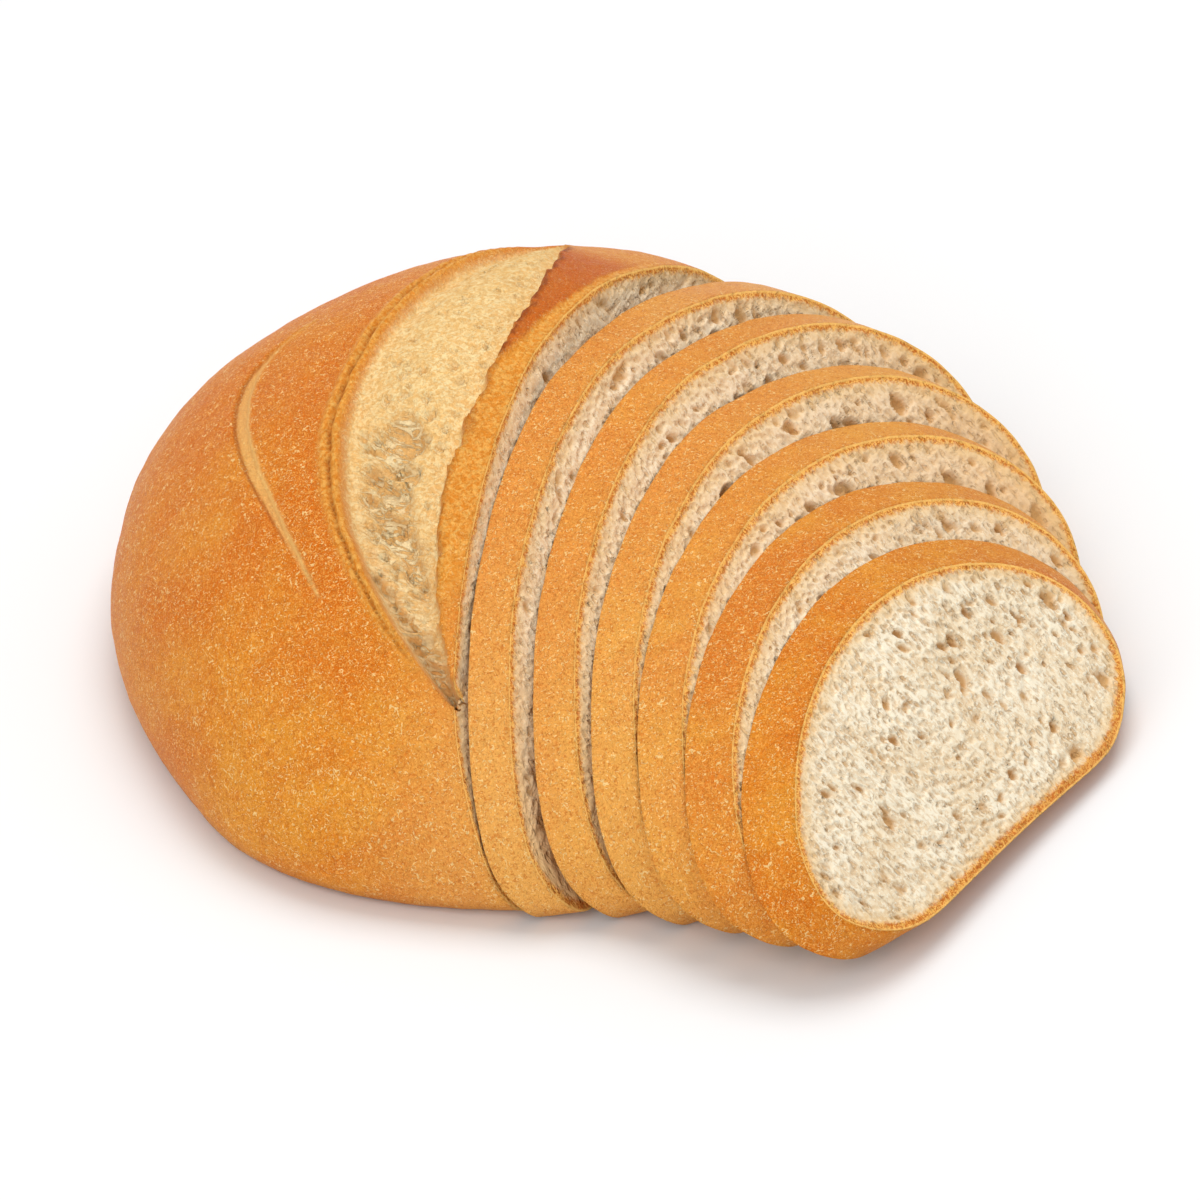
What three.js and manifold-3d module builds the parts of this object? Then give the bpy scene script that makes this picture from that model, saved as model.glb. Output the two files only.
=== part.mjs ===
// A round loaf of wheat bread, part sliced. The uncut end stands on its flat base, and six slices
// taken from its cut face lean back on it and on each other, like a pushed row of dominoes.
// Millimetres, +Z up, X along the row of slices, origin on the table under the middle of it all.
import * as THREE from "three";
import { mergeVertices } from "three/addons/utils/BufferGeometryUtils.js";
import Module from "manifold-3d";

// The whole loaf, before it was cut. Its middle is where it is widest and highest.
const UNCUT_END_LENGTH = 112;
const SLICED_END_LENGTH = 130;
const HALF_WIDTH = 119;
const HEIGHT = 88;
const WAIST_HEIGHT = 18;
// How deep the underside would bulge below the waist if the oven floor had not flattened it,
// and how softly the bulge rounds into that flat base.
const BELLY_DEPTH = 52;
const BASE_EDGE_SOFTNESS = 5;
const PLAN_ROUNDNESS = 1.9;
const DOME_ROUNDNESS = 1.77;
const BELLY_ROUNDNESS = 2;
// The loaf rose unevenly: its top leans away, and its sliced end bends towards the front.
const SIDEWAYS_LEAN = 0.16;
const END_BEND = 9;
const BEND_LENGTH = 100;

// The wide slash, which burst open in the oven: a crescent across the dome, from the back
// round to the front end of the first cut, sunk below the crust on both sides of it.
const BURST_HALF_WIDTH = 18;
const BURST_DEPTH = 4;
const BURST_BACK = 78;
const BURST_FRONT = -92;
const BURST_ALONG_AT_BACK = -28;
const BURST_SWEEP = 60;
const BURST_CURL = 2.5;

// The cuts, all parallel, made with the knife held at a slant.
const CUT_FROM_MIDDLE = 43;
const CUT_SLANT = 21;
const CUT_TURN = 5;
const SLICE_THICKNESS = 10.2;

// How each slice was pushed over, from the loaf outwards: degrees that it leans back, turns
// and rocks sideways on its rounded underside, and millimetres that it slid sideways.
const SLICE_LEAN = [33, 38, 42, 45, 47, 48];
const SLICE_TURN = [1, -0.5, -1.5, -3, -4.5, -5.5];
const SLICE_ROCK = [1, 0.5, 0, -1, -2, -2.5];
const SLICE_SLIDE = [1, 3, -2, -10, -19, -26];
const CLEARANCE = 0.3;

// How finely the crust is faceted: rings along the loaf, and points round each ring.
const RINGS = 44;
const POINTS_ROUND = 72;

const CRUST = { color: 0xc9802f, roughness: 0.55, metalness: 0 };
const CRUMB = { color: 0xe9d9b8, roughness: 0.9, metalness: 0 };

const wasm = await Module();
wasm.setup();

// The crust's point at a distance along the loaf and an angle round it. The plan is a rounded
// oval; the dome above the waist and the belly below it fall away to that outline.
function crustPoint(along, angle) {
  const reach = along > 0 ? SLICED_END_LENGTH : UNCUT_END_LENGTH;
  const end = (Math.abs(along) / reach) ** PLAN_ROUNDNESS;
  const halfChord = HALF_WIDTH * Math.max(1 - end, 0) ** (1 / PLAN_ROUNDNESS);
  const across = halfChord * Math.cos(angle);
  const side = (Math.abs(across) / HALF_WIDTH) ** PLAN_ROUNDNESS;
  const out = Math.min(end + side, 1) ** (1 / PLAN_ROUNDNESS);
  const dome = (HEIGHT - WAIST_HEIGHT) * falloff(out, DOME_ROUNDNESS) - burst(along, across);
  const belly = BELLY_DEPTH * falloff(out, BELLY_ROUNDNESS);
  const up = angle <= Math.PI ? WAIST_HEIGHT + dome : onOvenFloor(WAIST_HEIGHT - belly);
  const bend = along > 0 ? END_BEND * (along / BEND_LENGTH) ** 2 : 0;
  return [along, across + SIDEWAYS_LEAN * up - bend, up];
}

// 1 over the middle of the loaf and 0 at its outline, rounded by the given power.
function falloff(out, power) {
  return Math.max(1 - out ** power, 0) ** (1 / power);
}

// How far the burst slash sinks the dome: a cosine trough whose centre line sweeps along the
// loaf towards the front, and whose width narrows to nothing at both ends.
function burst(along, across) {
  const run = (BURST_BACK - across) / (BURST_BACK - BURST_FRONT);
  if (run <= 0 || run >= 1) return 0;
  const centre = BURST_ALONG_AT_BACK + BURST_SWEEP * run ** BURST_CURL;
  const halfWidth = BURST_HALF_WIDTH * Math.sqrt(Math.sin(Math.PI * run));
  const off = Math.abs(along - centre) / halfWidth;
  return off < 1 ? BURST_DEPTH * Math.sin(Math.PI * run) * Math.cos((Math.PI / 2) * off) ** 2 : 0;
}

// A height above the oven floor, with what would lie below it pressed flat, and a soft edge.
function onOvenFloor(height) {
  if (height <= -BASE_EDGE_SOFTNESS) return 0;
  if (height >= BASE_EDGE_SOFTNESS) return height;
  return (height + BASE_EDGE_SOFTNESS) ** 2 / (4 * BASE_EDGE_SOFTNESS);
}

// The whole loaf's crust as rings between two end points.
function loafGeometry() {
  const points = [];
  for (let ring = 1; ring < RINGS; ring++) {
    const swing = Math.cos((Math.PI * ring) / RINGS);
    const along = -swing * (swing > 0 ? UNCUT_END_LENGTH : SLICED_END_LENGTH);
    for (let i = 0; i < POINTS_ROUND; i++) {
      points.push(...crustPoint(along, (2 * Math.PI * i) / POINTS_ROUND));
    }
  }
  const faces = [];
  const corner = (ring, i) => ring * POINTS_ROUND + (i % POINTS_ROUND);
  const lastRing = RINGS - 2;
  const uncutTip = points.length / 3;
  const slicedTip = uncutTip + 1;
  points.push(...crustPoint(-UNCUT_END_LENGTH, 0), ...crustPoint(SLICED_END_LENGTH, 0));
  for (let i = 0; i < POINTS_ROUND; i++) {
    faces.push(uncutTip, corner(0, i + 1), corner(0, i));
    faces.push(slicedTip, corner(lastRing, i), corner(lastRing, i + 1));
    for (let ring = 0; ring < lastRing; ring++) {
      faces.push(corner(ring, i), corner(ring, i + 1), corner(ring + 1, i + 1));
      faces.push(corner(ring, i), corner(ring + 1, i + 1), corner(ring + 1, i));
    }
  }
  const geometry = new THREE.BufferGeometry();
  geometry.setAttribute("position", new THREE.Float32BufferAttribute(points, 3));
  geometry.setIndex(faces);
  return geometry;
}

// A three.js geometry as a solid, with its shared corners merged.
function toSolid(geometry) {
  const bare = geometry.clone();
  bare.deleteAttribute("normal");
  bare.deleteAttribute("uv");
  const merged = mergeVertices(bare);
  const vertProperties = merged.attributes.position.array;
  const triVerts = new Uint32Array(merged.index.array);
  return new wasm.Manifold(new wasm.Mesh({ numProp: 3, vertProperties, triVerts }));
}

function toGeometry(solid) {
  const mesh = solid.getMesh();
  const geometry = new THREE.BufferGeometry();
  geometry.setAttribute("position", new THREE.BufferAttribute(mesh.vertProperties, 3));
  geometry.setIndex(new THREE.BufferAttribute(mesh.triVerts, 1));
  geometry.computeVertexNormals();
  return geometry;
}

// The turn that takes a slice from upright and square to leaning back, rocked and turned.
function stance(leanDegrees, turnDegrees, rockDegrees) {
  const { degToRad } = THREE.MathUtils;
  const lean = new THREE.Matrix4().makeRotationY(-degToRad(leanDegrees));
  const rock = new THREE.Matrix4().makeRotationX(degToRad(rockDegrees));
  const turn = new THREE.Matrix4().makeRotationZ(degToRad(turnDegrees));
  return turn.multiply(rock).multiply(lean);
}

// The direction that a cut face with this stance looks in.
function facing(turned) {
  return new THREE.Vector3(1, 0, 0).transformDirection(turned);
}

const cutStance = stance(CUT_SLANT, CUT_TURN, 0);
const cutFacing = facing(cutStance);
const firstCut = CUT_FROM_MIDDLE * cutFacing.x;

// A block that holds all of the loaf lying between two of the parallel cuts.
function slab(from, to) {
  const reach = 2 * (UNCUT_END_LENGTH + SLICED_END_LENGTH);
  const block = new THREE.BoxGeometry(to - from, reach, reach);
  block.translate((from + to) / 2, 0, 0);
  return toSolid(block.applyMatrix4(cutStance));
}

function bakedPiece(name, solid, look) {
  const material = new THREE.MeshStandardMaterial(look);
  const mesh = new THREE.Mesh(toGeometry(solid), material);
  mesh.name = name;
  return mesh;
}

// Lowest value of a measure over every corner of a geometry.
function lowest(geometry, measure) {
  const corners = geometry.attributes.position;
  const point = new THREE.Vector3();
  let least = Infinity;
  for (let i = 0; i < corners.count; i++) {
    least = Math.min(least, measure(point.fromBufferAttribute(corners, i)));
  }
  return least;
}

const loaf = toSolid(loafGeometry());
const wholeLength = UNCUT_END_LENGTH + SLICED_END_LENGTH;
const group = new THREE.Group();
group.add(bakedPiece("uncut_loaf", loaf.intersect(slab(-2 * wholeLength, firstCut)), CRUST));

// Each slice is tipped, set down on the table and pushed up to the face behind it.
let faceBehind = { looks: cutFacing, at: firstCut };
SLICE_LEAN.forEach((lean, i) => {
  const from = firstCut + i * SLICE_THICKNESS;
  const slice = bakedPiece(`slice_${i + 1}`, loaf.intersect(slab(from, from + SLICE_THICKNESS)), CRUMB);
  const tipped = stance(lean, SLICE_TURN[i], SLICE_ROCK[i]);
  const tip = tipped.clone().multiply(cutStance.clone().invert());
  const stood = slice.geometry.clone().applyMatrix4(tip);
  const table = lowest(stood, (p) => p.z);
  const shift = new THREE.Vector3(0, SLICE_SLIDE[i], -table);
  const nearest = lowest(stood, (p) => p.add(shift).dot(faceBehind.looks));
  shift.x = (faceBehind.at + CLEARANCE - nearest) / faceBehind.looks.x;
  slice.applyMatrix4(tip.setPosition(shift));
  group.add(slice);
  const looks = facing(tipped);
  faceBehind = { looks, at: from + SLICE_THICKNESS + shift.dot(looks) };
});

// The origin goes to the middle of the row, on the table.
const box = new THREE.Box3().setFromObject(group, true);
const middle = box.getCenter(new THREE.Vector3());
group.position.set(-middle.x, -middle.y, -box.min.z);

export default group;
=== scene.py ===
import math
import bpy
import numpy as np
from mathutils import Matrix, Vector


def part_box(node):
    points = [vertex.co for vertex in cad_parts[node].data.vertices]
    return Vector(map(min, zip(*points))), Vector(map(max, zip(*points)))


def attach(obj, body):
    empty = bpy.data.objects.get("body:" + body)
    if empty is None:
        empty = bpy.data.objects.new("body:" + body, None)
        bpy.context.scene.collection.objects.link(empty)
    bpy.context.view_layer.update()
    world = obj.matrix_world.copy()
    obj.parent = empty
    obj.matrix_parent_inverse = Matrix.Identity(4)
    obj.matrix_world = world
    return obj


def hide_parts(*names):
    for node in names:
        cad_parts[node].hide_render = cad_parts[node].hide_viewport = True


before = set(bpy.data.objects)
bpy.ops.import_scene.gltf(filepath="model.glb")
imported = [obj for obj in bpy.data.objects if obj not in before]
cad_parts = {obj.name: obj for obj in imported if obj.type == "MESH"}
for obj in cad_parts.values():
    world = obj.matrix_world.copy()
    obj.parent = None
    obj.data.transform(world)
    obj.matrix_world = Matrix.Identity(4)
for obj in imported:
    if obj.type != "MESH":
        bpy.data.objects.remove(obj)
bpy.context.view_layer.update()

# ---- The uncut end of the loaf -------------------------------------------------------------
# A round of wheat dough, proved in a basket, slashed and baked on the oven floor until its
# crust is golden. One piece, crust and crumb: it stands on its flat base, its cut face slanted.
# Its form, in millimetres and degrees. Along is from the loaf's middle to the sliced end, and
# across is towards its back.
MM = 0.001
UNCUT_END_LENGTH = 109
SLICED_END_LENGTH = 130
HALF_WIDTH = 119
HEIGHT = 88
WAIST_HEIGHT = 18
BELLY_DEPTH = 52
BASE_EDGE_SOFTNESS = 5
SIDEWAYS_LEAN = 0.16
END_BEND = 9
BEND_LENGTH = 100
PLAN_ROUNDNESS = 1.9
DOME_ROUNDNESS = 1.77
BELLY_ROUNDNESS = 2
# The uncut end is a little squatter and more pointed in plan.
UNCUT_WAIST_HEIGHT = 16
UNCUT_PLAN_ROUNDNESS = 1.76
UNCUT_DOME_ROUNDNESS = 1.95
# Low on its near side it spread wider at the cut, drew in at the far end, and the corner of
# the cut face sagged forwards.
NEAR_SPREAD = 6
END_DRAW_IN = 2.5
LOW_END_DRAW_IN = (0.5, 1.5)
CUT_SAG = 5.5
# The knife's slant and turn, and where the first cut crosses the loaf.
CUT_FROM_MIDDLE = 43
CUT_SLANT = 21
CUT_TURN = 5
LOAF_CRUMB_SEED = 40
# How finely the piece is meshed, and the share of a ring's points that lie on the dome.
LOAF_RINGS = 190
LOAF_FACE_CELLS = 104
DOME_SHARE = 0.8
# Random draws that noise and bubbles look up, and large primes that scatter the numbers of a
# cell over them.
DRAWS = 4096
SCATTER = np.array([73856093, 19349663, 83492791])


def falloff(out, power):
    """1 over the middle of the loaf and 0 at its outline: (1 - out^power)^(1/power)."""
    return np.maximum(1 - out**power, 0) ** (1 / power)


def smooth(value, low, high):
    """0 below low, 1 above high, and 3x^2 - 2x^3 between them."""
    x = np.clip((value - low) / (high - low), 0, 1)
    return x * x * (3 - 2 * x)


def rough(points, size, seed):
    """Smooth noise from -1 to 1: random values at the corners of cubes, blended across each."""
    table = np.random.default_rng(seed).uniform(-1, 1, DRAWS)
    cube = np.floor(points / size).astype(np.int64)
    part = points / size - cube
    part = part * part * (3 - 2 * part)
    total = np.zeros(points.shape[:-1])
    for corner in np.ndindex(2, 2, 2):
        at = (cube + corner) * SCATTER
        value = table[(at[..., 0] ^ at[..., 1] ^ at[..., 2]) % DRAWS]
        total += value * np.prod(np.where(corner, part, 1 - part), axis=-1)
    return total


def crust_point(along, angle):
    """The bare crust at a distance along the loaf and an angle round it.

    The plan is |along|^p + |across|^p = 1. The dome above the waist and the belly below it
    fall away to that outline, the belly is pressed flat on the oven floor, and the whole
    leans sideways as it rises and bends towards the front as it runs to the sliced end.
    """
    uncut = smooth(-along, -20, 65)
    plan = PLAN_ROUNDNESS + (UNCUT_PLAN_ROUNDNESS - PLAN_ROUNDNESS) * uncut
    waist = WAIST_HEIGHT + (UNCUT_WAIST_HEIGHT - WAIST_HEIGHT) * uncut
    round_up = DOME_ROUNDNESS + (UNCUT_DOME_ROUNDNESS - DOME_ROUNDNESS) * uncut
    reach = np.where(along > 0, SLICED_END_LENGTH, UNCUT_END_LENGTH)
    end = np.minimum(np.abs(along) / reach, 1) ** plan
    across = HALF_WIDTH * np.maximum(1 - end, 0) ** (1 / plan) * np.cos(angle)
    side = (np.abs(across) / HALF_WIDTH) ** plan
    out = np.minimum(end + side, 1) ** (1 / plan)
    dome = waist + (HEIGHT - waist) * falloff(out, round_up)
    belly = waist - BELLY_DEPTH * falloff(out, BELLY_ROUNDNESS)
    soft = (belly + BASE_EDGE_SOFTNESS) ** 2 / (4 * BASE_EDGE_SOFTNESS)
    above = np.where(belly > BASE_EDGE_SOFTNESS, belly, soft)
    base = np.where(belly < -BASE_EDGE_SOFTNESS, 0, above)
    up = np.where(angle <= math.pi, dome, base)
    bend = np.where(along > 0, END_BEND * (along / BEND_LENGTH) ** 2, 0)
    return np.stack([along + 0 * up, across + SIDEWAYS_LEAN * up - bend, up], axis=-1)


def turn_about(axis, degrees):
    """The matrix of a right-handed turn about X, Y or Z."""
    a, b = [(1, 2), (2, 0), (0, 1)][axis]
    turn = np.eye(3)
    turn[a, a] = turn[b, b] = math.cos(math.radians(degrees))
    turn[b, a] = math.sin(math.radians(degrees))
    turn[a, b] = -turn[b, a]
    return turn


def stance(lean, turn, rock):
    """A slice's turn from upright and square: leaning back, rocked, then turned."""
    return turn_about(2, turn) @ turn_about(0, rock) @ turn_about(1, -lean)


cut_stance = stance(CUT_SLANT, CUT_TURN, 0)
cut_facing = cut_stance[:, 0]
first_cut = CUT_FROM_MIDDLE * cut_facing[0]


# How far short of the sliced end a search along the loaf stops, and how often it halves.
SHORT_OF_END = 6.0
HALVINGS = 40


def along_at_cut(angle, cut):
    """Where the crust at this angle meets a cut, found by halving the span again and again."""
    low = np.full(np.broadcast(angle, cut).shape, -float(UNCUT_END_LENGTH))
    high = np.full(low.shape, SLICED_END_LENGTH - SHORT_OF_END)
    for _ in range(HALVINGS):
        middle = (low + high) / 2
        short = crust_point(middle, angle) @ cut_facing < cut
        low, high = np.where(short, middle, low), np.where(short, high, middle)
    return low


# Steps that measure the crust round a ring, and a hair's breadth beside an edge or above 0.
FINE_STEPS = 2000
NEXT_TO = 1e-9


def angles_round(count):
    """Angles round the loaf, evenly spaced along the crust, most of them over the dome."""
    on_dome = int(count * DOME_SHARE)
    parts = []
    for start, steps in ((0, on_dome), (math.pi, count - on_dome)):
        fine = np.linspace(start, start + math.pi, FINE_STEPS)
        inner = np.clip(fine, start + NEXT_TO, start + math.pi - NEXT_TO)
        ring = crust_point(np.zeros(FINE_STEPS), inner)
        run = np.concatenate([[0], np.cumsum(np.linalg.norm(np.diff(ring, axis=0), axis=1))])
        parts.append(np.interp(np.linspace(0, run[-1], steps, endpoint=False), run, fine))
    return np.concatenate(parts)


def normals(grid):
    """Outward unit normals of a closed-round grid (rings, points, 3), from its neighbours."""
    down = np.gradient(grid, axis=0)
    rolled = np.roll(grid, -1, axis=1) - np.roll(grid, 1, axis=1)
    cross = np.cross(down, rolled)
    return -cross / np.maximum(np.linalg.norm(cross, axis=-1, keepdims=True), NEXT_TO)


# The wide slash, which burst open: a crescent over the dome from the back to the front.
BURST_BACK = 78
BURST_FRONT = -99
BURST_HALF_WIDTH = 18.5
BURST_START = -30
BURST_SWEEP = 22
BURST_CURL = 41
BURST_HOOK = 6


def burst_place(along, across):
    """How far along the burst a place in plan is, how far off its middle, and its half width.

    The run is 0 at the back and 1 in front. The middle line is a straight sweep, plus a curl
    that grows as run^7 towards the tip, plus a hook of (1 - run)^3 at the back. The half width
    grows as sin(pi * run)^0.55, and off the middle is counted in half widths.
    """
    run = (BURST_BACK - across) / (BURST_BACK - BURST_FRONT)
    inner = np.clip(run, 0.002, 0.998)
    middle = BURST_START + BURST_SWEEP * run + BURST_CURL * np.clip(run, 0, 1.2) ** 7
    middle = middle + BURST_HOOK * np.clip(1 - run, 0, 1) ** 3
    half_width = BURST_HALF_WIDTH * np.sin(math.pi * inner) ** 0.55
    off = (along - middle) / half_width
    off = np.where((run <= 0) | (run >= 1), 9 * np.sign(off), off)
    return run, off, half_width


# The thin slash: a crescent beside the burst, curling away from it to the front.
SLASH_MIDDLE = -11
SLASH_ALONG = -70
SLASH_FRONT = -86
SLASH_LENGTH = 98
SLASH_HALF_WIDTH = 2.1


def thin_slash_line(across):
    """Where the thin slash runs along the loaf: powers of the way to its front and its back."""
    towards = np.maximum(SLASH_MIDDLE - across, 0)
    away = np.maximum(across - SLASH_MIDDLE, 0)
    return SLASH_ALONG + 9 * (towards / 25) ** 1.68 + 3 * (away / 16) ** 2


def bubbles(place, cell, share, radii, stretch, grain, seed):
    """How far inside a gas bubble each point of a cut face lies, from 0 at its edge to 1.

    One oval bubble in each square cell, at a random place, is there with the chance that
    share gives at its middle. Inside is 1 - (u/a)^2 - (v/b)^2, with u along the grain.
    """
    table = np.random.default_rng(seed).random((DRAWS, 5))
    home = np.floor(place / cell).astype(np.int64)
    deepest = np.zeros(len(place))
    for step in np.ndindex(3, 3):
        at = home + np.array(step) - 1
        draw = table[((at[:, 0] * SCATTER[0]) ^ (at[:, 1] * SCATTER[1])) % DRAWS]
        middle = (at + 0.5 + 0.8 * (draw[:, :2] - 0.5)) * cell
        size = radii[0] + (radii[1] - radii[0]) * draw[:, 3] ** 1.5
        angle = grain(middle) + 1.1 * (draw[:, 4] - 0.5)
        off = place - middle
        u = (off[:, 0] * np.cos(angle) + off[:, 1] * np.sin(angle)) / (size * stretch)
        v = (off[:, 1] * np.cos(angle) - off[:, 0] * np.sin(angle)) / size
        inside = np.where(draw[:, 2] < share(middle), 1 - u * u - v * v, 0)
        deepest = np.maximum(deepest, inside)
    return deepest


def torn_crumb(bare, run, off, half_width, edges, inside):
    """Height of the torn crumb in the burst over the crust, below 0, and the painted shade of its
    hollows.

    It swells up in the middle as a cosine across the tear. In front it tore open into a
    furrow, exp(-|off its middle / its width|^4), where strings of dough run across the tear
    between hollow pockets. One large bubble lies at the furrow's start, and small oval holes
    are scattered all over.
    """
    left, right = edges
    along = bare[..., 0]
    across = bare[..., 1] - SIDEWAYS_LEAN * bare[..., 2]
    swell = 0.55 + 0.45 * np.cos(math.pi * np.clip(off, -1, 1))
    torn_front = smooth(run, 0.58, 0.70)
    drawn = np.stack([0.3 * off * half_width, across + 0.25 * along, 0 * along], axis=-1)
    towards_tip = 0.35 * smooth(run, 0.70, 0.85)
    strings = rough(drawn, 3.6, 12) + 0.45 * rough(bare, 1.9, 14) + towards_tip
    pocket = smooth(strings, -0.25, 0.35)
    off_furrow = off + 0.18 - 0.1 * smooth(run, 0.75, 0.9) + 0.14 * rough(bare, 4.5, 17)
    furrow_width = 0.5 + 0.3 * smooth(run, 0.72, 0.88)
    furrow = inside * torn_front * np.exp(-np.abs(off_furrow / furrow_width) ** 4)
    shaded_hollow = furrow * pocket
    bubble = inside * smooth(1 - ((off + 0.05) / 0.42) ** 2 - ((run - 0.66) / 0.05) ** 2, 0, 0.5)
    plan = np.stack([along, across], axis=-1).reshape(-1, 2)
    holes = bubbles(plan, 5, lambda at: 0.42, (0.6, 1.4), 1.7, lambda at: np.full(len(at), 1.2), 22)
    hole = smooth(left, 2.5, 5.5) * smooth(right, 2, 5) * inside * holes.reshape(along.shape) ** 0.5
    height = -inside * (3.0 - 1.9 * swell + 1.2 * torn_front)
    height += inside * (0.6 * rough(bare, 9, 5) + 0.3 * rough(bare, 2.4, 7))
    height -= 2.4 * furrow + 3.6 * shaded_hollow + 1.8 * hole + 2.4 * bubble
    # Painted shade, darkest in the furrow, its pockets, the large bubble and the small holes.
    sunk_shade = np.maximum(0.45 * furrow + 0.5 * shaded_hollow, 0.9 * bubble)
    return height, np.clip(sunk_shade + 0.8 * hole, 0, 1)


def cut_lips(bare, run, off, left, top):
    """Height of the two lips by the tear's left edge, where they show, and the crease's painted shade.

    Each lip and the crease between them is a bell curve of the distance from the edge.
    """
    ridge = np.exp(-((left + 1.0) / 1.0) ** 2) + 0.75 * np.exp(-((left + 4.4) / 1.1) ** 2)
    broken = 0.55 + 0.45 * smooth(rough(bare, 4, 16), -0.3, 0.3)
    crease_shade_and_scorch = np.exp(-((left + 2.8) / 0.5) ** 2) * broken
    beside = top * smooth(run, 0.02, 0.12) * (1 - smooth(run, 0.93, 1.0)) * (np.abs(off) < 3)
    lip = beside * np.exp(-(np.abs(left + 2.4) / 3.4) ** 4) * (1 - smooth(left, 0, 1.2))
    return beside * (1.2 * ridge - 1.0 * crease_shade_and_scorch), lip, beside * crease_shade_and_scorch


def raised_ear(bare, run, right, top):
    """The ear and the strip in front of it, 0 to 1, and the scorched edge of the crust there.

    The ear is the flap of crust that the oven lifted along the back of the tear's right edge.
    The strip carries on from it to the front, as a low golden rim.
    """
    along = bare[..., 0]
    across = bare[..., 1] - SIDEWAYS_LEAN * bare[..., 2]
    ear_edge = 2 + 0.05 * (across + 12) + 0.7 * rough(bare, 3, 9)
    ear = smooth(-right, -0.5, 0.5) * (1 - smooth(along, ear_edge - 0.6, ear_edge + 0.6)) * top
    ear *= smooth(across, -14, -4) * smooth(run, 0.01, 0.14)
    scorch = np.exp(-((right + 0.5) / 1.0) ** 2) * smooth(rough(bare, 2.2, 13), -0.6, 0.0)
    scorch *= top * smooth(run, 0.02, 0.1) * (1 - smooth(run, 0.8, 0.95)) * (0.5 + 0.7 * ear)
    strip = top * smooth(-right, -0.6, 0.4) * (1 - ear) * (1 - smooth(along, 14, 30))
    strip *= smooth(-across, -96, -60)
    strip *= 1 - smooth(run, 0.93, 1.02)
    return ear, strip, scorch


def thin_slash(bare, wander, top):
    """Height of the thin slash and its raised edge, how much of it shows, and its painted shade line.

    Its half width grows as sin(pi * reach)^0.7 from end to end. It is shallow, with a fine line of
    painted shade along its left side and a raised edge on its right, each a bell curve across it.
    """
    along = bare[..., 0]
    across = bare[..., 1] - SIDEWAYS_LEAN * bare[..., 2]
    slash = along - thin_slash_line(across) + 0.3 * wander
    reach = np.clip((across - SLASH_FRONT) / SLASH_LENGTH, 0, 1)
    width = SLASH_HALF_WIDTH * np.sin(math.pi * reach) ** 0.7 + 1e-3
    there = top * (reach > 0) * (reach < 1)
    floor = np.exp(-np.abs(slash / width) ** 4) * there
    line = np.exp(-((slash + width * 1.1) / 0.5) ** 2) * there * smooth(width, 0.6, 1.6)
    edge = np.exp(-((slash - width) / 0.7) ** 2) * there
    return -0.8 * floor - 0.5 * line + 0.4 * edge, 0.65 * floor + 0.6 * edge, line


def crust_relief(bare, slashed):
    """Height of the baked crust over its bare form in mm, and its marks from 0 to 1.

    slashed is 1 for the uncut loaf and 0 for the slices, which have neither slash. Outside
    the burst the crust is uneven by three sizes of noise added up.
    """
    top = smooth(bare[..., 2], 20, 34) * slashed
    across = bare[..., 1] - SIDEWAYS_LEAN * bare[..., 2]
    run, off, half_width = burst_place(bare[..., 0], across)
    wander = 0.9 * rough(bare, 7, 3) + 0.4 * rough(bare, 2.6, 4)
    left = (off + 1) * half_width + 0.45 * wander
    right = (1 - off) * half_width + 1.3 * wander + 0.6 * rough(bare, 1.7, 18)
    inside = smooth(left, 0, 1.6) * smooth(right, 0, 1.0) * top
    height, shaded_hollow = torn_crumb(bare, run, off, half_width, (left, right), inside)
    lip_height, lip, crease_shade_and_scorch = cut_lips(bare, run, off, left, top)
    ear, strip, scorch = raised_ear(bare, run, right, top)
    slash_height, slash, slash_shade = thin_slash(bare, wander, top)
    height += lip_height
    height += 1.8 * ear * np.exp(-np.maximum(-right, 0) / 8.0)
    height += 0.6 * strip * np.exp(-np.maximum(-right, 0) / 3)
    height += slash_height
    uneven = 0.5 * rough(bare, 26, 1) + 0.16 * rough(bare, 6, 2) + 0.06 * rough(bare, 2.2, 8)
    height += (1 - inside) * uneven
    marks = {
        "torn": inside,
        "lip": np.clip(lip + 0.9 * strip, 0, 1),
        "toasted": ear,
        "slash": np.clip(slash, 0, 1),
        # Painted shade in the lips' crease and along the thin slash, with the real scorched edge by
        # the ear.
        "crease_shade_and_scorch": np.clip(crease_shade_and_scorch + 0.8 * slash_shade + 1.1 * scorch, 0, 1),
        # Painted shade in the hollows of the tear.
        "shaded_hollow": shaded_hollow,
    }
    return height, marks


def raised(grid, slashed):
    """The bare crust moved out along its normals by its relief, above the floor, and its marks."""
    height, marks = crust_relief(grid, slashed)
    out = normals(grid)
    shown = grid + out * height[..., None]
    flat = grid[..., 2] < 0.5
    shown[..., 2] = np.where(flat, grid[..., 2], np.maximum(shown[..., 2], 0))
    marks["under"] = 1 - smooth(grid[..., 2], 0, 9)
    return shown, marks


def square_ring(cells):
    """The corners of a square grid of cells, laid out as rings round its middle.

    Returns each corner's reach, 0 at the middle and 1 at the edge, its place round the edge
    in cells, and the numbers of the corners round the edge in order.
    """
    line = np.linspace(-1, 1, cells + 1)
    x, y = np.meshgrid(line, line, indexing="ij")
    reach = np.maximum(np.abs(x), np.abs(y))
    safe = np.maximum(reach, NEXT_TO)
    x, y = x / safe, y / safe
    half = cells / 2
    most = 1 - NEXT_TO
    low_side = (y <= -most) & (x < most)
    right_side = (x >= most) & (y < most)
    high_side = (y >= most) & (x > -most)
    place = np.select(
        [low_side, right_side, high_side],
        [(x + 1) * half, cells + (y + 1) * half, 2 * cells + (1 - x) * half],
        3 * cells + (1 - y) * half,
    )
    side = np.arange(cells)
    back = cells - side
    number = np.arange((cells + 1) ** 2).reshape(cells + 1, cells + 1)
    edge = np.concatenate([number[side, 0], number[cells, side], number[back, cells], number[0, back]])
    return reach, place % (4 * cells), edge


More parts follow.
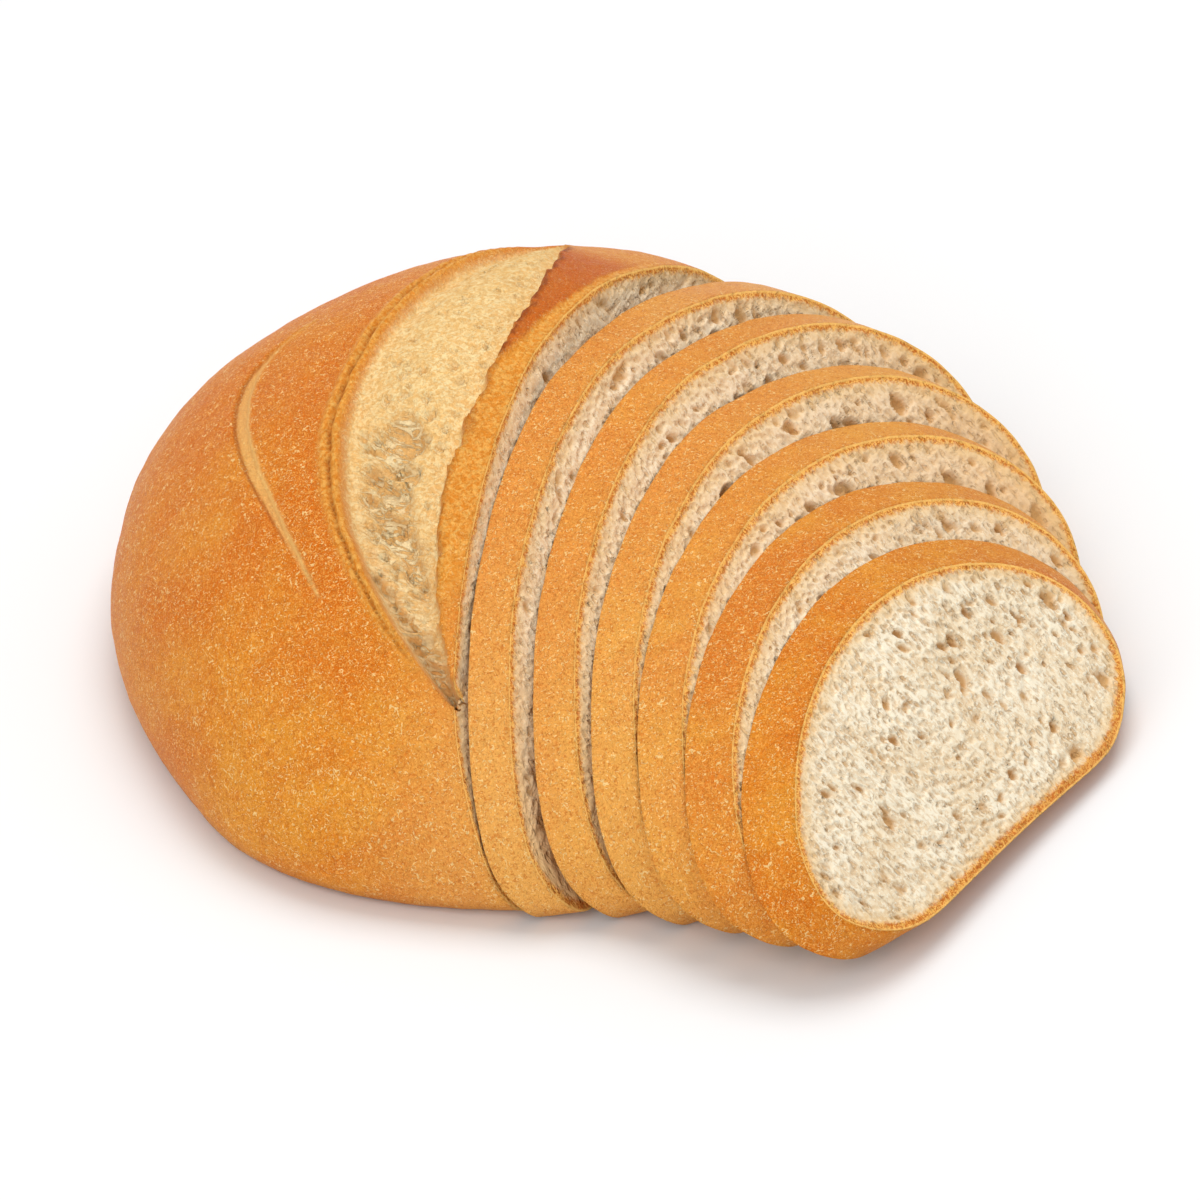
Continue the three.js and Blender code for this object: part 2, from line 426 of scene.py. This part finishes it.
def cut_face(outline, cells):
    """A square grid stretched over a closed outline: middle + reach * (outline - middle).

    Returns its points, its quads, its edge numbers and each point's distance from the outline.
    """
    reach, place, edge = square_ring(cells)
    count = 4 * cells
    turn = np.arange(count + 1)
    closed = np.concatenate([outline, outline[:1]])
    rim = np.stack([np.interp(place, turn, closed[:, k]) for k in range(3)], axis=-1)
    middle = outline.mean(axis=0)
    points = middle + reach[..., None] * (rim - middle)
    tangent = np.roll(outline, -1, axis=0) - np.roll(outline, 1, axis=0)
    tangent /= np.linalg.norm(tangent, axis=1, keepdims=True)
    spoke = outline - middle
    clear = np.linalg.norm(spoke - tangent * (spoke * tangent).sum(1, keepdims=True), axis=1)
    inward = (1 - reach) * np.interp(place, turn, np.concatenate([clear, clear[:1]]))
    number = np.arange((cells + 1) ** 2).reshape(cells + 1, cells + 1)
    quads = np.stack([number[:-1, :-1], number[1:, :-1], number[1:, 1:], number[:-1, 1:]], axis=-1)
    return points.reshape(-1, 3), quads.reshape(-1, 4), edge, inward.ravel()


def crumb_relief(place, inward, middle, seed):
    """Height of the open bubbles of the crumb in mm, below 0, and the painted shade in them, 0 to 1.

    place is across and up the face. Three sizes of bubble are sunk as the root of how far
    inside each point lies. They lie round the middle of the face, and more and larger ones
    open towards the top of its back, where the dough rose most freely.
    """
    def grain(at):
        """The angle of a line round the middle of the face."""
        return np.arctan2(at[:, 1] - middle[1], (at[:, 0] - middle[0]) * 1.5) + math.pi / 2

    def open_side(at):
        """How open the crumb is here: the back's share times the top's."""
        back = smooth(at[:, 0] - middle[0], -10, 65)
        top = smooth(at[:, 1] - middle[1], -25, 10)
        return 0.05 + 0.70 * back * (0.35 + 0.65 * top)

    warp = np.stack([rough(np.pad(place, ((0, 0), (0, 1))), 5, seed + k) for k in (0, 1)], axis=-1)
    bent = place + 0.5 * warp
    fine = bubbles(bent, 2.6, lambda at: 0.9, (0.5, 1.1), 1.7, grain, seed + 2)
    some = lambda at: 0.25 + 0.5 * open_side(at)
    few = lambda at: 0.03 + 0.8 * open_side(at)
    middling = bubbles(bent, 5.5, some, (0.8, 1.7), 1.6, grain, seed + 3)
    large = bubbles(bent, 9, few, (1.3, 2.9), 1.35, grain, seed + 4)
    whole = smooth(inward, 0.8, 3)
    clear, well_clear = smooth(inward, 2, 5), smooth(inward, 3, 6)
    depth = 0.55 * np.sqrt(fine) + 1.0 * middling**0.5 * clear + 1.9 * large**0.5 * well_clear
    # Painted shade, deepest in the largest bubbles away from the crust.
    look = np.clip(0.35 * fine + 0.6 * middling * clear + 1.0 * large * well_clear, 0, 1)
    wave = 0.08 * rough(np.pad(place, ((0, 0), (0, 1))), 9, seed + 5)
    return -(depth * (0.4 + 0.6 * whole)) + wave - 0.08, look


def make_piece(name, points, quads, triangles, looks, marks, face_place, node, slot):
    """A baked piece from its corners in millimetres, in place, with its faces and marks."""
    mesh = bpy.data.meshes.new(name)
    faces = np.concatenate([quads.ravel(), triangles.ravel()]).astype(np.int32)
    sizes = np.concatenate([np.full(len(quads), 4), np.full(len(triangles), 3)])
    starts = np.concatenate([[0], np.cumsum(sizes)[:-1]])
    mesh.vertices.add(len(points))
    mesh.vertices.foreach_set("co", (points * MM).astype(np.float32).ravel())
    mesh.loops.add(len(faces))
    mesh.loops.foreach_set("vertex_index", faces)
    mesh.polygons.add(len(sizes))
    mesh.polygons.foreach_set("loop_start", starts.astype(np.int32))
    mesh.polygons.foreach_set("material_index", looks.astype(np.int32))
    mesh.update(calc_edges=True)
    mesh.validate()
    mesh.shade_smooth()
    for mark, values in marks.items():
        layer = mesh.attributes.new(mark, "FLOAT", "POINT")
        layer.data.foreach_set("value", values.astype(np.float32).ravel())
    layer = mesh.attributes.new("face_place", "FLOAT_VECTOR", "POINT")
    layer.data.foreach_set("vector", (face_place * MM).astype(np.float32).ravel())
    piece = bpy.data.objects.new(name, mesh)
    bpy.context.collection.objects.link(piece)
    mesh.materials.append(crust_look)
    mesh.materials.append(crumb_look)
    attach(piece, "root")
    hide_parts(node)
    return piece


class Look:
    """A material whose nodes are added one after another."""

    def __init__(self, name, **sockets):
        self.material = bpy.data.materials.new(name)
        self.material.use_nodes = True
        self.nodes = self.material.node_tree.nodes
        self.links = self.material.node_tree.links
        self.shader = self.nodes["Principled BSDF"]
        for socket, value in sockets.items():
            self.shader.inputs[socket.replace("_", " ")].default_value = value
        self.place = self.nodes.new("ShaderNodeTexCoord").outputs["Object"]

    def put(self, socket, value):
        """Sets a socket to a number or a colour, or links it to another node's output."""
        if hasattr(value, "default_value") or hasattr(value, "is_linked"):
            self.links.new(value, socket)
        else:
            socket.default_value = value

    def mark(self, name):
        """One of the piece's own marks, from 0 to 1."""
        node = self.nodes.new("ShaderNodeAttribute")
        node.attribute_name = name
        return node.outputs["Fac"]

    def noise(self, size_mm, detail=2.0, distortion=0.0, roughness=0.5, place=None):
        """Blotches of about this size, from 0 to 1."""
        node = self.nodes.new("ShaderNodeTexNoise")
        self.put(node.inputs["Vector"], place or self.place)
        node.inputs["Scale"].default_value = 1 / (size_mm * MM)
        node.inputs["Detail"].default_value = detail
        node.inputs["Roughness"].default_value = roughness
        node.inputs["Distortion"].default_value = distortion
        return node.outputs["Fac"]

    def axis(self, name):
        """Where a point lies along X, Y or Z of the part, in metres."""
        node = self.nodes.new("ShaderNodeSeparateXYZ")
        self.links.new(self.place, node.inputs[0])
        return node.outputs[name]

    def stretched(self, shares):
        """The face's own place, across and up it, drawn out where a share is below 1."""
        uv = self.nodes.new("ShaderNodeAttribute")
        uv.attribute_name = "face_place"
        node = self.nodes.new("ShaderNodeMapping")
        node.inputs["Scale"].default_value = shares
        self.links.new(uv.outputs["Vector"], node.inputs["Vector"])
        return node.outputs["Vector"]

    def cells(self, size_mm, place=None):
        """How far a point is from the middle of the nearest of scattered cells of this size."""
        node = self.nodes.new("ShaderNodeTexVoronoi")
        self.put(node.inputs["Vector"], place or self.place)
        node.inputs["Scale"].default_value = 1 / (size_mm * MM)
        return node.outputs["Distance"]

    def step(self, value, low, high, to_low=0.0, to_high=1.0):
        """A soft step from to_low to to_high as the value goes from low to high."""
        node = self.nodes.new("ShaderNodeMapRange")
        node.interpolation_type = "SMOOTHSTEP"
        self.put(node.inputs["Value"], value)
        node.inputs["From Min"].default_value = low
        node.inputs["From Max"].default_value = high
        node.inputs["To Min"].default_value = to_low
        node.inputs["To Max"].default_value = to_high
        return node.outputs["Result"]

    def sum(self, kind, a, b):
        """Two values added, multiplied or compared, as kind says."""
        node = self.nodes.new("ShaderNodeMath")
        node.operation = kind
        self.put(node.inputs[0], a)
        self.put(node.inputs[1], b)
        return node.outputs[0]

    def mix(self, share, a, b):
        """The first colour with this share of the second over it."""
        node = self.nodes.new("ShaderNodeMix")
        node.data_type = "RGBA"
        self.put(node.inputs["Factor"], share)
        self.put(node.inputs[6], a)
        self.put(node.inputs[7], b)
        return node.outputs[2]

    def bump(self, height, depth_mm):
        """The surface's normal, tilted by a height from 0 to 1 that stands this deep."""
        node = self.nodes.new("ShaderNodeBump")
        node.inputs["Distance"].default_value = depth_mm * MM
        self.put(node.inputs["Height"], height)
        return node.outputs["Normal"]

    def finish(self, colour, roughness, normal):
        """The finished material, with these on its shader."""
        self.put(self.shader.inputs["Base Color"], colour)
        self.put(self.shader.inputs["Roughness"], roughness)
        self.links.new(normal, self.shader.inputs["Normal"])
        return self.material


def shade(red, green, blue):
    """A colour as seen on a screen, 0 to 255, as the linear RGBA that a shader takes."""
    seen = np.array([red, green, blue]) / 255
    linear = np.where(seen <= 0.04045, seen / 12.92, ((seen + 0.055) / 1.055) ** 2.4)
    return (*linear.tolist(), 1.0)


def make_crust_look():
    """Baked crust: golden to chestnut, freckled with pale specks of blistered skin, satin."""
    look = Look("baked_crust", Specular_IOR_Level=0.10)
    up = look.axis("Z")
    high = look.step(up, 0.015, 0.08)
    patches = look.sum("ADD", look.noise(34, 3), look.sum("MULTIPLY", high, 0.16))
    base = look.mix(look.step(patches, 0.42, 0.72), shade(234, 149, 40), shade(221, 112, 10))
    base = look.mix(look.step(look.noise(9, 3), 0.42, 0.66, 0, 0.4), base, shade(216, 110, 12))
    # Painted shade darkens the far end, which the light reaches less, and the slices from the middle
    # of the loaf are paler low down.
    base = look.mix(look.step(look.axis("X"), -0.15, -0.05, 0.8, 0), base, shade(226, 112, 0))
    paler = look.sum("MULTIPLY", look.mark("paleness_and_bounce"), look.step(up, 0.035, 0.085, 1, 0.5))
    base = look.mix(paler, base, shade(250, 188, 100))
    # Flecks, specks and bright blisters of the skin.
    flecks = look.noise(0.9, 1.0, 2.6)
    base = look.mix(look.step(flecks, 0.50, 0.57, 0, 0.6), base, shade(251, 182, 88))
    specks = look.noise(1.2, 2, 1.6)
    base = look.mix(look.step(specks, 0.52, 0.64, 0, 0.5), base, shade(204, 100, 10))
    bright = look.noise(1.3, 1, 2.0)
    base = look.mix(look.step(bright, 0.62, 0.68, 0, 0.8), base, shade(255, 218, 148))
    base = look.mix(look.sum("MULTIPLY", look.mark("under"), 0.45), base, shade(190, 108, 36))
    # The crumb that shows in the tear, drawn out into strings across its hollows, with painted
    # shade in the hollows between the strings.
    grain = look.noise(1.3, 3, 0.8)
    torn_colour = look.mix(look.step(grain, 0.36, 0.66), shade(240, 190, 118), shade(255, 226, 166))
    browned = look.step(look.noise(7, 2), 0.4, 0.7, 0, 0.35)
    torn_colour = look.mix(browned, torn_colour, shade(248, 198, 120))
    drawn = look.nodes.new("ShaderNodeMapping")
    drawn.inputs["Rotation"].default_value = (0, 0, math.radians(20))
    drawn.inputs["Scale"].default_value = (0.28, 1, 0.6)
    look.links.new(look.place, drawn.inputs["Vector"])
    strings = look.step(look.noise(1.7, 3, 1.6, 0.55, place=drawn.outputs["Vector"]), 0.44, 0.58)
    strung = look.mix(strings, shade(238, 184, 112), shade(255, 234, 186))
    torn_colour = look.mix(look.sum("MULTIPLY", look.mark("shaded_hollow"), 0.85), torn_colour, strung)
    # The toasted ear, the golden lips, the tear and the thin slash; then the dark mark: painted
    # shade in the lips' crease and along the thin slash, and the scorched edge by the ear.
    base = look.mix(look.sum("MULTIPLY", look.mark("toasted"), 0.6), base, shade(196, 84, 12))
    mottled = look.step(look.noise(1.2, 3, 0.8), 0.36, 0.68)
    lip = look.mix(mottled, shade(230, 142, 40), shade(252, 192, 96))
    base = look.mix(look.sum("MULTIPLY", look.mark("lip"), 0.85), base, lip)
    base = look.mix(look.mark("torn"), base, torn_colour)
    base = look.mix(look.sum("MULTIPLY", look.mark("slash"), 0.85), base, shade(255, 206, 124))
    base = look.mix(look.sum("MULTIPLY", look.mark("crease_shade_and_scorch"), 0.75), base, shade(140, 60, 12))
    height = look.sum("ADD", flecks, look.sum("MULTIPLY", specks, -0.5))
    height = look.sum("ADD", height, look.sum("MULTIPLY", grain, 0.6))
    height = look.sum("ADD", height, look.sum("MULTIPLY", strings, look.mark("shaded_hollow")))
    normal = look.bump(height, 0.5)
    roughness = look.step(look.mark("torn"), 0, 1, 0.42, 0.9)
    return look.finish(base, roughness, normal)


def make_crumb_look():
    """Wheat crumb: cream, open and matt, its rim toasted through from the crust."""
    look = Look("wheat_crumb", Roughness=0.9, Specular_IOR_Level=0.2)
    along_grain = look.stretched((1, 1, 0.42))
    tone = look.noise(14, 3)
    base = look.mix(look.step(tone, 0.35, 0.65), shade(246, 226, 192), shade(254, 242, 216))
    fine = look.noise(1.2, 4, 0.9, 0.6, place=along_grain)
    base = look.mix(look.step(fine, 0.48, 0.56, 0, 0.5), base, shade(222, 188, 142))
    # Painted shade in the small pores of the crumb, scattered in open patches.
    open_here = look.step(look.noise(3.0, 2), 0.40, 0.60, 0.25, 1)
    shaded_pit = look.step(look.cells(2.1, along_grain), 0.22, 0.42, 1, 0)
    small_shaded_pit = look.step(look.cells(1.25, along_grain), 0.20, 0.40, 0.7, 0)
    shaded_pit = look.sum("MULTIPLY", look.sum("MAXIMUM", shaded_pit, small_shaded_pit), open_here)
    base = look.mix(look.sum("MULTIPLY", shaded_pit, 0.62), base, shade(206, 162, 108))
    glint = look.noise(0.8, 1, 0.6)
    base = look.mix(look.step(glint, 0.56, 0.63, 0, 0.8), base, shade(252, 242, 218))
    # Light that bounces between the leaning slices comes back warm from their crust.
    low_down = look.step(look.axis("Z"), 0.012, 0.07, 0.9, 0.3)
    between = look.sum("MULTIPLY", low_down, look.step(look.mark("paleness_and_bounce"), 0, 0.3))
    base = look.mix(between, base, shade(240, 192, 134))
    # Painted shade deep in the open bubbles of the crumb.
    base = look.mix(look.step(look.mark("pore_shade"), 0.05, 0.8, 0, 0.85), base, shade(206, 154, 90))
    # From the crust inwards: a pale skin, a toasted rim of uneven width, and a warm edge that is
    # partly the crumb's own colour and partly painted light bounced from the crust.
    inward = look.mark("inward")
    uneven = look.sum("ADD", inward, look.sum("MULTIPLY", look.noise(1.3, 3, 0.6), 3.4))
    base = look.mix(look.step(uneven, 3.2, 9.5, 0.6, 0), base, shade(242, 200, 136))
    speckled = look.step(look.noise(0.9, 2, 1.5), 0.44, 0.56)
    rim = look.mix(speckled, shade(206, 114, 26), shade(250, 188, 92))
    rim = look.mix(look.sum("MULTIPLY", look.mark("under"), 0.6), rim, shade(186, 92, 24))
    low_rim = look.step(look.axis("Z"), 0.004, 0.022, 1.2, 0)
    toasted_in = look.sum("SUBTRACT", uneven, low_rim)
    base = look.mix(look.step(toasted_in, 2.7, 4.6, 0.95, 0), base, rim)
    base = look.mix(look.step(inward, 0.3, 0.8, 0.8, 0), base, shade(252, 200, 112))
    height = look.sum("SUBTRACT", look.sum("MULTIPLY", fine, -0.5), look.sum("MULTIPLY", shaded_pit, 0.8))
    height = look.sum("ADD", height, look.sum("MULTIPLY", glint, 0.4))
    normal = look.bump(height, 0.55)
    return look.finish(base, 0.9, normal)


crust_look = make_crust_look()
crumb_look = make_crumb_look()
# What each corner of a piece's crust is marked with, for the crust's look to read.
crust_marks = ("torn", "lip", "toasted", "slash", "crease_shade_and_scorch", "shaded_hollow", "under")


def slab_grid(count, cuts):
    """The crust between cuts: a ring of points at each cut, (cuts, count, 3)."""
    angle = angles_round(count)[None, :]
    return crust_point(along_at_cut(angle, cuts[:, None]), angle)


def centre_of(points):
    """The middle of the box round some points."""
    flat = points.reshape(-1, 3)
    return (flat.min(axis=0) + flat.max(axis=0)) / 2


def node_centre(node):
    """The middle of the plain solid that a piece replaces, in millimetres."""
    low, high = (np.array(corner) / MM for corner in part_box(node))
    return (low + high) / 2


def band_quads(rings, count):
    """Quads between neighbouring rings of a closed-round grid."""
    number = np.arange(rings * count).reshape(rings, count)
    nxt = np.roll(number, -1, axis=1)
    return np.stack([number[:-1], nxt[:-1], nxt[1:], number[1:]], axis=-1).reshape(-1, 4)


def settled_crust(bare, step):
    """The bare crust with its low near side spread, drawn in and sagged, in smooth steps.

    step runs from 0 at the far end to 1 at the cut. Returns the sag at the cut as well.
    """
    across = bare[..., 1] - SIDEWAYS_LEAN * bare[..., 2]
    low_near = smooth(-across, 20, 100) * (1 - smooth(bare[..., 2], 5, 60))
    spread = NEAR_SPREAD * smooth(bare[..., 0], -45, 15)
    spread = spread - END_DRAW_IN * (1 - smooth(bare[..., 0], -70, -20))
    bare[..., 1] -= spread * low_near
    low_end = smooth(-across, -20, 70) * smooth(-bare[..., 0], 25, 85)
    low_end *= 1 - smooth(bare[..., 2], 5, 50)
    bare[..., :2] += low_end[..., None] * LOW_END_DRAW_IN
    cut_sag = CUT_SAG * smooth(-across, 30, 90) * (1 - smooth(bare[..., 2], 15, 55))
    bare[..., 0] += cut_sag * smooth(step, 0.6, 1)
    return bare, cut_sag[-1]


def build_uncut_loaf():
    """The uncut loaf: rings of crust from its far end to the first cut, closed by a cut face.

    The rings lie closer together towards the end by a cosine. The crust's highest point comes
    to the highest corner of the plain solid.
    """
    count = 4 * LOAF_FACE_CELLS
    angle = angles_round(count)[None, :]
    end = along_at_cut(angle, np.array([[first_cut]]))
    step = np.linspace(0, 1, LOAF_RINGS)[:, None]
    share = 1 - np.cos(0.5 * math.pi * step) * (1 - 0.15 * step)
    along = -UNCUT_END_LENGTH + (end + UNCUT_END_LENGTH) * share
    bare = crust_point(along, angle)
    corners = np.array([vertex.co[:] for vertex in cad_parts["uncut_loaf"].data.vertices]) / MM
    crown = corners[corners[:, 2].argmax()]
    shift = crown - (0, SIDEWAYS_LEAN * HEIGHT, HEIGHT)
    bare, sag_at_cut = settled_crust(bare, step)
    shown, marks = raised(bare, 1)
    shown[0] = bare[0].mean(axis=0)
    last = shown[-1]
    last[:, 0] += (first_cut - last @ cut_facing) / cut_facing[0] + sag_at_cut
    local = last @ cut_stance
    face, quads, edge, inward = cut_face(local, LOAF_FACE_CELLS)
    middle = local.mean(axis=0)[1:]
    sink, look = crumb_relief(face[:, 1:], inward, middle, LOAF_CRUMB_SEED)
    face[:, 0] += np.where(inward > 0, sink, 0)
    face = face @ cut_stance.T
    body = shown.reshape(-1, 3)
    points = np.concatenate([body, face])
    renumber = len(body) + np.arange(len(face))
    renumber[edge] = (LOAF_RINGS - 1) * count + np.arange(count)
    outer = band_quads(LOAF_RINGS, count)
    tip, outer = outer[:count], outer[count:]
    tip_triangles = np.stack([np.zeros(count, dtype=tip.dtype), tip[:, 2], tip[:, 3]], axis=-1)
    face_quads = renumber[quads]
    all_quads = np.concatenate([outer, face_quads])
    looks = np.concatenate([np.zeros(len(outer)), np.ones(len(face_quads)), np.zeros(count)])
    on_face = np.zeros(len(face))
    values = {name: np.concatenate([marks[name].ravel(), on_face]) for name in crust_marks}
    values["under"][len(body):] = 1 - smooth(face[:, 2], 2, 12)
    values["pore_shade"] = np.concatenate([np.zeros(len(body)), look])
    values["inward"] = np.concatenate([np.zeros(len(body)), inward])
    values["paleness_and_bounce"] = 0.5 * smooth(points[:, 0], 5, 45)
    values["paleness_and_bounce"][len(body):] = 0.5
    place = points @ cut_stance
    return finish_arrays(points + shift, all_quads, tip_triangles, looks, values, place)


def finish_arrays(points, quads, triangles, looks, marks, face_place):
    """Drops the corners that no face uses, and turns the faces round if they look inwards.

    They look inwards if the volume they enclose, the sum of a . (b x c), comes out below 0.
    """
    used = np.zeros(len(points), dtype=bool)
    used[quads] = True
    used[triangles] = True
    number = np.cumsum(used) - 1
    corners = np.concatenate([quads[:, [0, 1, 2]], quads[:, [0, 2, 3]], triangles])
    a, b, c = (points[corners[:, k]] for k in range(3))
    if (a * np.cross(b, c)).sum() < 0:
        quads, triangles = quads[:, ::-1], triangles[:, ::-1]
    kept = {name: values[used] for name, values in marks.items()}
    return points[used], number[quads], number[triangles], looks, kept, face_place[used]


make_piece("uncut_loaf_baked", *build_uncut_loaf(), "uncut_loaf", "crust")

# ---- The slices -----------------------------------------------------------------------------
# Six slices as the knife left them, crumb inside and crust round the rim. Each stands on its
# lower edge and leans back on the face behind it, a little more than the one before.
SLICE_THICKNESS = 10.2
SLICE_LEAN = [33, 38, 42, 45, 47, 48]
SLICE_TURN = [1, -0.5, -1.5, -3, -4.5, -5.5]
SLICE_ROCK = [1, 0.5, 0, -1, -2, -2.5]
# The low near corner of each slice sagged towards the loaf and inwards, and its back spread.
SLICE_SAG = [2.5, 3.5, 6, 6, 5, 4.5]
SLICE_DRAW_IN = [-4, -1, 4, 6, 7, 7]
SLICE_BACK_SPREAD = [4, 5, 4, 1, -2, -5]
# The crust is paler on the slices from the middle of the loaf. The same shares let painted warm
# light, bounced from the crust, onto the crumb of all but the front slice, mostly low down.
SLICE_PALENESS_AND_BOUNCE = [0.75, 0.6, 0.6, 0.4, 0.15, 0]
# How finely a slice is meshed: rows across its band of crust, cells across its face of crumb,
# and more of them on the front slice, whose whole face shows. The back face is flat.
BAND_ROWS = 9
FACE_CELLS = 220
FRONT_FACE_CELLS = 268
BACK_SUNK = 0.15
FIRST_CRUMB_SEED = 100


def fan(fine_ring, coarse_ring):
    """Triangles between a ring and one with a quarter of its points."""
    count = len(coarse_ring)
    near = coarse_ring
    far = np.roll(coarse_ring, -1)
    fine = [fine_ring[(4 * np.arange(count) + k) % (4 * count)] for k in range(5)]
    return np.concatenate([
        np.stack([fine[0], fine[1], near], axis=-1),
        np.stack([fine[1], fine[2], near], axis=-1),
        np.stack([near, fine[2], far], axis=-1),
        np.stack([fine[2], fine[3], far], axis=-1),
        np.stack([fine[3], fine[4], far], axis=-1),
    ])


def sagged(stood, index):
    """A standing slice with its low near corner sagged and its back spread, in smooth steps."""
    near = smooth(-stood[:, 1], -60, 60) * (1 - smooth(stood[:, 2], 0, 50))
    stood[:, 0] -= SLICE_SAG[index] * near
    stood[:, 1] += SLICE_DRAW_IN[index] * near
    stood[:, 1] += SLICE_BACK_SPREAD[index] * smooth(stood[:, 1], 0, 85)
    stood[:, 2] = np.maximum(stood[:, 2], 0)
    return stood


def build_slice(index, cells):
    """A slice: a band of crust between two cuts, a face of crumb in front and a flat back.

    It is made where it lay in the loaf, square to the cuts, then tipped to its stance, brought
    to the middle of the plain solid it replaces, and sagged.
    """
    node = f"slice_{index + 1}"
    count = 4 * cells
    start = first_cut + index * SLICE_THICKNESS
    cuts = np.linspace(start, start + SLICE_THICKNESS, BAND_ROWS + 1)
    bare = slab_grid(count, cuts)
    shown, marks = raised(bare, 0)
    for row, cut in ((0, cuts[0]), (-1, cuts[-1])):
        shown[row, :, 0] += (cut - shown[row] @ cut_facing) / cut_facing[0]
    band = shown @ cut_stance
    front, quads, edge, inward = cut_face(band[-1], cells)
    middle = band[-1].mean(axis=0)[1:]
    sink, look = crumb_relief(front[:, 1:], inward, middle, FIRST_CRUMB_SEED + 10 * index)
    front[:, 0] += np.where(inward > 0, sink, 0)
    back_cells = cells // 4
    back, back_quads, back_edge, back_inward = cut_face(band[0, ::4], back_cells)
    body = band.reshape(-1, 3)
    points = np.concatenate([body, front, back])
    front_number = len(body) + np.arange(len(front))
    front_number[edge] = BAND_ROWS * count + np.arange(count)
    back_number = len(body) + len(front) + np.arange(len(back))
    hub = back.mean(axis=0)
    points[back_number] = hub + (back - hub) * (1 - 2 / back_cells)
    points[back_number, 0] = cuts[0] + BACK_SUNK
    triangles = fan(np.arange(count), back_number[back_edge])
    rim = band_quads(BAND_ROWS + 1, count)
    front_quads = front_number[quads]
    back_quads = back_number[back_quads][:, ::-1]
    all_quads = np.concatenate([rim, front_quads, back_quads])
    crumb_faces = len(front_quads) + len(back_quads) + len(triangles)
    looks = np.concatenate([np.zeros(len(rim)), np.ones(crumb_faces)])
    extra = np.zeros(len(front) + len(back))
    values = {name: np.concatenate([marks[name].ravel(), extra]) for name in crust_marks}
    values["pore_shade"] = np.concatenate([np.zeros(len(body)), look, np.zeros(len(back))])
    values["inward"] = np.concatenate([np.zeros(len(body)), inward, back_inward + 2])
    tip = stance(SLICE_LEAN[index], SLICE_TURN[index], SLICE_ROCK[index])
    settled = (bare @ cut_stance) @ tip.T
    stood = sagged(points @ tip.T + (node_centre(node) - centre_of(settled)), index)
    values["under"][len(body):] = 1 - smooth(stood[len(body):, 2], 2, 12)
    values["paleness_and_bounce"] = np.full(len(points), SLICE_PALENESS_AND_BOUNCE[index])
    arrays = finish_arrays(stood, all_quads, triangles, looks, values, points)
    make_piece(f"{node}_baked", *arrays, node, "crumb")


front_slice = len(SLICE_LEAN) - 1
for index in range(front_slice):
    build_slice(index, FACE_CELLS)
build_slice(front_slice, FRONT_FACE_CELLS)

# ---- The table and the light ------------------------------------------------------------------
# A wide, plain pale table top that the bread stands on, with a soft light overhead, a wider
# one in front of it, and even light from the room all round.
TABLE_REACH = 6.0
TABLE_PALENESS = 0.9
ROOM_LIGHT = 0.58
MIDDLE_OF_BREAD = (0, 0, 0.03)
sides = ((-1, -1), (1, -1), (1, 1), (-1, 1))
table_corners = [(x * TABLE_REACH, y * TABLE_REACH, 0) for x, y in sides]
table_mesh = bpy.data.meshes.new("table_top")
table_mesh.from_pydata(table_corners, [], [(0, 1, 2, 3)])
table = bpy.data.objects.new("table_top", table_mesh)
bpy.context.collection.objects.link(table)
table_look = bpy.data.materials.new("pale_table")
table_look.use_nodes = True
table_shader = table_look.node_tree.nodes["Principled BSDF"]
table_shader.inputs["Base Color"].default_value = (TABLE_PALENESS, TABLE_PALENESS, TABLE_PALENESS, 1)
table_shader.inputs["Roughness"].default_value = 0.7
table_shader.inputs["Specular IOR Level"].default_value = 0.1
table_mesh.materials.append(table_look)


def soft_light(name, place, size, watts):
    """A square soft box that looks at the middle of the bread."""
    lamp = bpy.data.lights.new(name, "AREA")
    lamp.size = size
    lamp.energy = watts
    box = bpy.data.objects.new(name, lamp)
    bpy.context.collection.objects.link(box)
    box.location = place
    towards = np.array(MIDDLE_OF_BREAD) - np.array(place)
    box.rotation_euler = Vector(towards).to_track_quat("-Z", "Y").to_euler()


soft_light("overhead", place=(-0.05, 0.32, 1.3), size=0.9, watts=9)
soft_light("front", place=(0.1, -1.3, 0.95), size=1.5, watts=9)
world = bpy.data.worlds.new("studio")
world.use_nodes = True
world.node_tree.nodes["Background"].inputs["Color"].default_value = (1, 1, 1, 1)
world.node_tree.nodes["Background"].inputs["Strength"].default_value = ROOM_LIGHT
bpy.context.scene.world = world
bpy.context.scene.view_settings.view_transform = "Standard"

# ---- The camera --------------------------------------------------------------------------------
# A long lens from the front right, looking down at the row, turned a little about its own axis.
# Angles are in degrees, the distance in metres and the lens in millimetres.
CAMERA_AROUND = 28.87
CAMERA_UP = 35.27
CAMERA_ROLL = -4.75
CAMERA_AWAY = 4.0
CAMERA_LENS = 451.6
AIM = (-0.0176, 0.0239, 0.0)
camera_data = bpy.data.cameras.new("camera")
camera_data.lens = CAMERA_LENS
camera_data.sensor_width = 36
camera_data.clip_end = 100
camera = bpy.data.objects.new("camera", camera_data)
bpy.context.collection.objects.link(camera)
around, above = math.radians(CAMERA_AROUND), math.radians(CAMERA_UP)
level = math.cos(above)
out = np.array([math.sin(around) * level, -math.cos(around) * level, math.sin(above)])
camera.location = np.array(AIM) + CAMERA_AWAY * out
look_turn = Vector(-out).to_track_quat("-Z", "Y").to_matrix().to_4x4()
roll = Matrix.Rotation(math.radians(CAMERA_ROLL), 4, "Z")
camera.matrix_world = Matrix.Translation(camera.location) @ look_turn @ roll
bpy.context.scene.camera = camera

bpy.context.view_layer.update()
